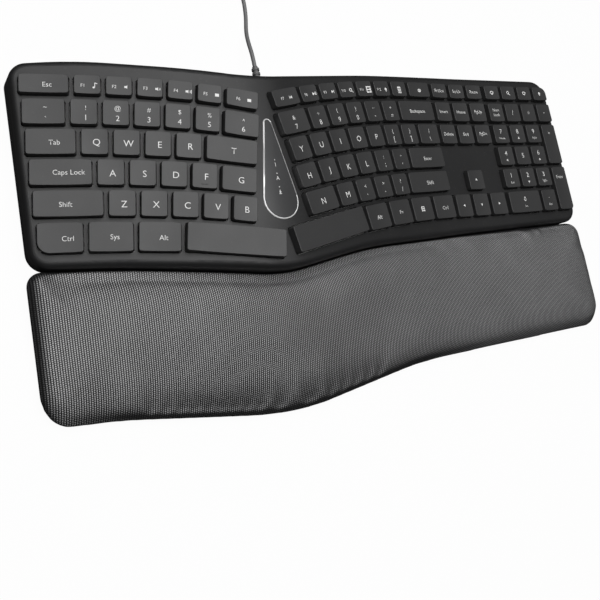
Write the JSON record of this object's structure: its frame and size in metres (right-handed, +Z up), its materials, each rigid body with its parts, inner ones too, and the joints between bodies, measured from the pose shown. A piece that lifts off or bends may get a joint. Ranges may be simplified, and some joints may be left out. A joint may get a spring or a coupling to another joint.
{
  "type": "ergonomic keyboard",
  "caption": "Wired desk keyboard with an arched, gently split key deck, number pad, indicator window and padded woven palm rest, its cable coiled behind.",
  "frame": {"origin": "centre of the underside's bounding box, on the desk, measured without the cable", "axes": "+X to the user's right, +Y away from the user, +Z up"},
  "size_m": [0.466, 0.3644, 0.0516],
  "materials": {
    "case_plastic": "fine moulded grain",
    "deck_plastic": "satin, faint sheen",
    "key_plastic": "satin, fine grain, white legends",
    "smoked_panel": "smoked, glossy",
    "bright_ring": "satin silver",
    "circuit_board": "solder mask",
    "membrane_film": "clear film with printed tracks",
    "dome_rubber": "silicone",
    "plate_steel": "zinc plated",
    "palm_foam": "foam",
    "palm_fabric": "fine woven mesh",
    "screw_steel": "zinc plated",
    "foot_rubber": "matte",
    "cable_sheath": "satin grey sheath",
    "plug_plastic": "moulded",
    "tie_strap": "hook and loop strap"
  },
  "bodies": {
    "case": {"base_case": "case_plastic", "top_case": "deck_plastic", "indicator_panel": "smoked_panel", "indicator_ring": "bright_ring", "indicator_board": "circuit_board", "controller_board": "circuit_board", "membrane_sheets": "membrane_film", "rubber_domes": "dome_rubber", "key_guide_frame": "case_plastic", "backing_plate": "plate_steel", "palm_rest_base": "case_plastic", "palm_rest_pad": "palm_foam", "palm_rest_cover": "palm_fabric", "case_screws": "screw_steel", "palm_rest_screws": "screw_steel", "rubber_feet": "foot_rubber", "cable_strain_relief": "cable_sheath", "usb_cable": "cable_sheath", "usb_cable_coil": "cable_sheath", "usb_plug": "plug_plastic", "cable_tie": "tie_strap"},
    "tilt_leg_left": {"tilt_leg_left": "case_plastic"},
    "tilt_leg_right": {"tilt_leg_right": "case_plastic"},
    "escape_key": {"escape_key": "key_plastic"},
    "left_column_1_keys": {"left_column_1_keys": "key_plastic"},
    "left_column_2_keys": {"left_column_2_keys": "key_plastic"},
    "left_column_3_keys": {"left_column_3_keys": "key_plastic"},
    "left_column_4_keys": {"left_column_4_keys": "key_plastic"},
    "left_column_5_keys": {"left_column_5_keys": "key_plastic"},
    "left_column_6_keys": {"left_column_6_keys": "key_plastic"},
    "grave_key": {"grave_key": "key_plastic"},
    "tab_key": {"tab_key": "key_plastic"},
    "caps_lock_key": {"caps_lock_key": "key_plastic"},
    "left_shift_key": {"left_shift_key": "key_plastic"},
    "left_control_key": {"left_control_key": "key_plastic"},
    "left_system_key": {"left_system_key": "key_plastic"},
    "left_alt_key": {"left_alt_key": "key_plastic"},
    "left_space_bar": {"left_space_bar": "key_plastic"},
    "right_column_7_keys": {"right_column_7_keys": "key_plastic"},
    "right_column_6_keys": {"right_column_6_keys": "key_plastic"},
    "right_column_5_keys": {"right_column_5_keys": "key_plastic"},
    "right_column_4_keys": {"right_column_4_keys": "key_plastic"},
    "right_column_3_keys": {"right_column_3_keys": "key_plastic"},
    "right_column_2_keys": {"right_column_2_keys": "key_plastic"},
    "right_column_1_keys": {"right_column_1_keys": "key_plastic"},
    "backspace_key": {"backspace_key": "key_plastic"},
    "enter_key": {"enter_key": "key_plastic"},
    "right_shift_key": {"right_shift_key": "key_plastic"},
    "right_control_key": {"right_control_key": "key_plastic"},
    "menu_key": {"menu_key": "key_plastic"},
    "function_key": {"function_key": "key_plastic"},
    "right_alt_key": {"right_alt_key": "key_plastic"},
    "right_space_bar": {"right_space_bar": "key_plastic"},
    "navigation_keys": {"navigation_keys": "key_plastic"},
    "arrow_keys": {"arrow_keys": "key_plastic"},
    "media_keys": {"media_keys": "key_plastic"},
    "number_pad_keys": {"number_pad_keys": "key_plastic"},
    "number_pad_plus_key": {"number_pad_plus_key": "key_plastic"},
    "number_pad_zero_keys": {"number_pad_zero_keys": "key_plastic"},
    "number_pad_enter_key": {"number_pad_enter_key": "key_plastic"}
  },
  "joints": [
    {"name": "tilt_leg_left_hinge", "type": "hinge", "parent": "case", "child": "tilt_leg_left", "pos_m": [-0.19, 0.104, 0.0029], "axis": [1, 0, 0], "range_deg": [0, 95]},
    {"name": "tilt_leg_right_hinge", "type": "hinge", "parent": "case", "child": "tilt_leg_right", "pos_m": [0.19, 0.104, 0.0029], "axis": [1, 0, 0], "range_deg": [0, 95]},
    {"name": "escape_key_press", "type": "slide", "parent": "case", "child": "escape_key", "axis": [0.23, 0.0391, -0.9724], "range_m": [0, 0.0022], "stiffness_N_per_m": 250, "springref_m": -0.0008, "deforming": ["rubber_domes"]},
    {"name": "left_column_1_keys_press", "type": "slide", "parent": "case", "child": "left_column_1_keys", "axis": [0.23, 0.0391, -0.9724], "range_m": [0, 0.0022], "stiffness_N_per_m": 1250, "springref_m": -0.0008},
    {"name": "left_column_2_keys_press", "type": "slide", "parent": "case", "child": "left_column_2_keys", "axis": [0.23, 0.0391, -0.9724], "range_m": [0, 0.0022], "stiffness_N_per_m": 1250, "springref_m": -0.0008},
    {"name": "left_column_3_keys_press", "type": "slide", "parent": "case", "child": "left_column_3_keys", "axis": [0.2263, 0.0391, -0.9733], "range_m": [0, 0.0022], "stiffness_N_per_m": 1250, "springref_m": -0.0008},
    {"name": "left_column_4_keys_press", "type": "slide", "parent": "case", "child": "left_column_4_keys", "axis": [0.1858, 0.0394, -0.9818], "range_m": [0, 0.0022], "stiffness_N_per_m": 1250, "springref_m": -0.0008},
    {"name": "left_column_5_keys_press", "type": "slide", "parent": "case", "child": "left_column_5_keys", "axis": [0.1267, 0.0398, -0.9911], "range_m": [0, 0.0022], "stiffness_N_per_m": 1250, "springref_m": -0.0008},
    {"name": "left_column_6_keys_press", "type": "slide", "parent": "case", "child": "left_column_6_keys", "axis": [0.0853, 0.04, -0.9956], "range_m": [0, 0.0022], "stiffness_N_per_m": 500, "springref_m": -0.0008},
    {"name": "grave_key_press", "type": "slide", "parent": "case", "child": "grave_key", "axis": [0.23, 0.0391, -0.9724], "range_m": [0, 0.0022], "stiffness_N_per_m": 250, "springref_m": -0.0008},
    {"name": "tab_key_press", "type": "slide", "parent": "case", "child": "tab_key", "axis": [0.23, 0.0391, -0.9724], "range_m": [0, 0.0022], "stiffness_N_per_m": 250, "springref_m": -0.0008},
    {"name": "caps_lock_key_press", "type": "slide", "parent": "case", "child": "caps_lock_key", "axis": [0.23, 0.0391, -0.9724], "range_m": [0, 0.0022], "stiffness_N_per_m": 250, "springref_m": -0.0008},
    {"name": "left_shift_key_press", "type": "slide", "parent": "case", "child": "left_shift_key", "axis": [0.23, 0.0391, -0.9724], "range_m": [0, 0.0022], "stiffness_N_per_m": 250, "springref_m": -0.0008},
    {"name": "left_control_key_press", "type": "slide", "parent": "case", "child": "left_control_key", "axis": [0.23, 0.0391, -0.9724], "range_m": [0, 0.0022], "stiffness_N_per_m": 250, "springref_m": -0.0008},
    {"name": "left_system_key_press", "type": "slide", "parent": "case", "child": "left_system_key", "axis": [0.23, 0.0391, -0.9724], "range_m": [0, 0.0022], "stiffness_N_per_m": 250, "springref_m": -0.0008},
    {"name": "left_alt_key_press", "type": "slide", "parent": "case", "child": "left_alt_key", "axis": [0.23, 0.0391, -0.9724], "range_m": [0, 0.0022], "stiffness_N_per_m": 250, "springref_m": -0.0008},
    {"name": "left_space_bar_press", "type": "slide", "parent": "case", "child": "left_space_bar", "axis": [0.1338, 0.0398, -0.9902], "range_m": [0, 0.0022], "stiffness_N_per_m": 250, "springref_m": -0.0008},
    {"name": "right_column_7_keys_press", "type": "slide", "parent": "case", "child": "right_column_7_keys", "axis": [-0.1227, 0.0398, -0.9916], "range_m": [0, 0.0022], "stiffness_N_per_m": 1000, "springref_m": -0.0008},
    {"name": "right_column_6_keys_press", "type": "slide", "parent": "case", "child": "right_column_6_keys", "axis": [-0.1702, 0.0395, -0.9846], "range_m": [0, 0.0022], "stiffness_N_per_m": 1250, "springref_m": -0.0008},
    {"name": "right_column_5_keys_press", "type": "slide", "parent": "case", "child": "right_column_5_keys", "axis": [-0.1702, 0.0395, -0.9846], "range_m": [0, 0.0022], "stiffness_N_per_m": 1250, "springref_m": -0.0008},
    {"name": "right_column_4_keys_press", "type": "slide", "parent": "case", "child": "right_column_4_keys", "axis": [-0.1702, 0.0395, -0.9846], "range_m": [0, 0.0022], "stiffness_N_per_m": 1250, "springref_m": -0.0008},
    {"name": "right_column_3_keys_press", "type": "slide", "parent": "case", "child": "right_column_3_keys", "axis": [-0.1702, 0.0395, -0.9846], "range_m": [0, 0.0022], "stiffness_N_per_m": 1250, "springref_m": -0.0008},
    {"name": "right_column_2_keys_press", "type": "slide", "parent": "case", "child": "right_column_2_keys", "axis": [-0.1702, 0.0395, -0.9846], "range_m": [0, 0.0022], "stiffness_N_per_m": 1000, "springref_m": -0.0008},
    {"name": "right_column_1_keys_press", "type": "slide", "parent": "case", "child": "right_column_1_keys", "axis": [-0.1672, 0.0396, -0.9851], "range_m": [0, 0.0022], "stiffness_N_per_m": 1250, "springref_m": -0.0008},
    {"name": "backspace_key_press", "type": "slide", "parent": "case", "child": "backspace_key", "axis": [-0.1161, 0.0399, -0.9924], "range_m": [0, 0.0022], "stiffness_N_per_m": 250, "springref_m": -0.0008},
    {"name": "enter_key_press", "type": "slide", "parent": "case", "child": "enter_key", "axis": [-0.1159, 0.0399, -0.9925], "range_m": [0, 0.0022], "stiffness_N_per_m": 250, "springref_m": -0.0008},
    {"name": "right_shift_key_press", "type": "slide", "parent": "case", "child": "right_shift_key", "axis": [-0.1215, 0.0398, -0.9918], "range_m": [0, 0.0022], "stiffness_N_per_m": 250, "springref_m": -0.0008},
    {"name": "right_control_key_press", "type": "slide", "parent": "case", "child": "right_control_key", "axis": [-0.1012, 0.0399, -0.9941], "range_m": [0, 0.0022], "stiffness_N_per_m": 250, "springref_m": -0.0008},
    {"name": "menu_key_press", "type": "slide", "parent": "case", "child": "menu_key", "axis": [-0.1477, 0.0397, -0.9882], "range_m": [0, 0.0022], "stiffness_N_per_m": 250, "springref_m": -0.0008},
    {"name": "function_key_press", "type": "slide", "parent": "case", "child": "function_key", "axis": [-0.1702, 0.0395, -0.9846], "range_m": [0, 0.0022], "stiffness_N_per_m": 250, "springref_m": -0.0008},
    {"name": "right_alt_key_press", "type": "slide", "parent": "case", "child": "right_alt_key", "axis": [-0.1702, 0.0395, -0.9846], "range_m": [0, 0.0022], "stiffness_N_per_m": 250, "springref_m": -0.0008},
    {"name": "right_space_bar_press", "type": "slide", "parent": "case", "child": "right_space_bar", "axis": [-0.1702, 0.0395, -0.9846], "range_m": [0, 0.0022], "stiffness_N_per_m": 250, "springref_m": -0.0008},
    {"name": "navigation_keys_press", "type": "slide", "parent": "case", "child": "navigation_keys", "axis": [-0.0271, 0.0401, -0.9988], "range_m": [0, 0.0022], "stiffness_N_per_m": 2250, "springref_m": -0.0008},
    {"name": "arrow_keys_press", "type": "slide", "parent": "case", "child": "arrow_keys", "axis": [-0.0259, 0.0401, -0.9989], "range_m": [0, 0.0022], "stiffness_N_per_m": 1000, "springref_m": -0.0008},
    {"name": "media_keys_press", "type": "slide", "parent": "case", "child": "media_keys", "axis": [0, 0.0401, -0.9992], "range_m": [0, 0.0022], "stiffness_N_per_m": 1000, "springref_m": -0.0008},
    {"name": "number_pad_keys_press", "type": "slide", "parent": "case", "child": "number_pad_keys", "axis": [0, 0.0401, -0.9992], "range_m": [0, 0.0022], "stiffness_N_per_m": 3250, "springref_m": -0.0008},
    {"name": "number_pad_plus_key_press", "type": "slide", "parent": "case", "child": "number_pad_plus_key", "axis": [0, 0.0401, -0.9992], "range_m": [0, 0.0022], "stiffness_N_per_m": 250, "springref_m": -0.0008},
    {"name": "number_pad_zero_keys_press", "type": "slide", "parent": "case", "child": "number_pad_zero_keys", "axis": [0, 0.0401, -0.9992], "range_m": [0, 0.0022], "stiffness_N_per_m": 500, "springref_m": -0.0008},
    {"name": "number_pad_enter_key_press", "type": "slide", "parent": "case", "child": "number_pad_enter_key", "axis": [0, 0.0401, -0.9992], "range_m": [0, 0.0022], "stiffness_N_per_m": 250, "springref_m": -0.0008}
  ]
}
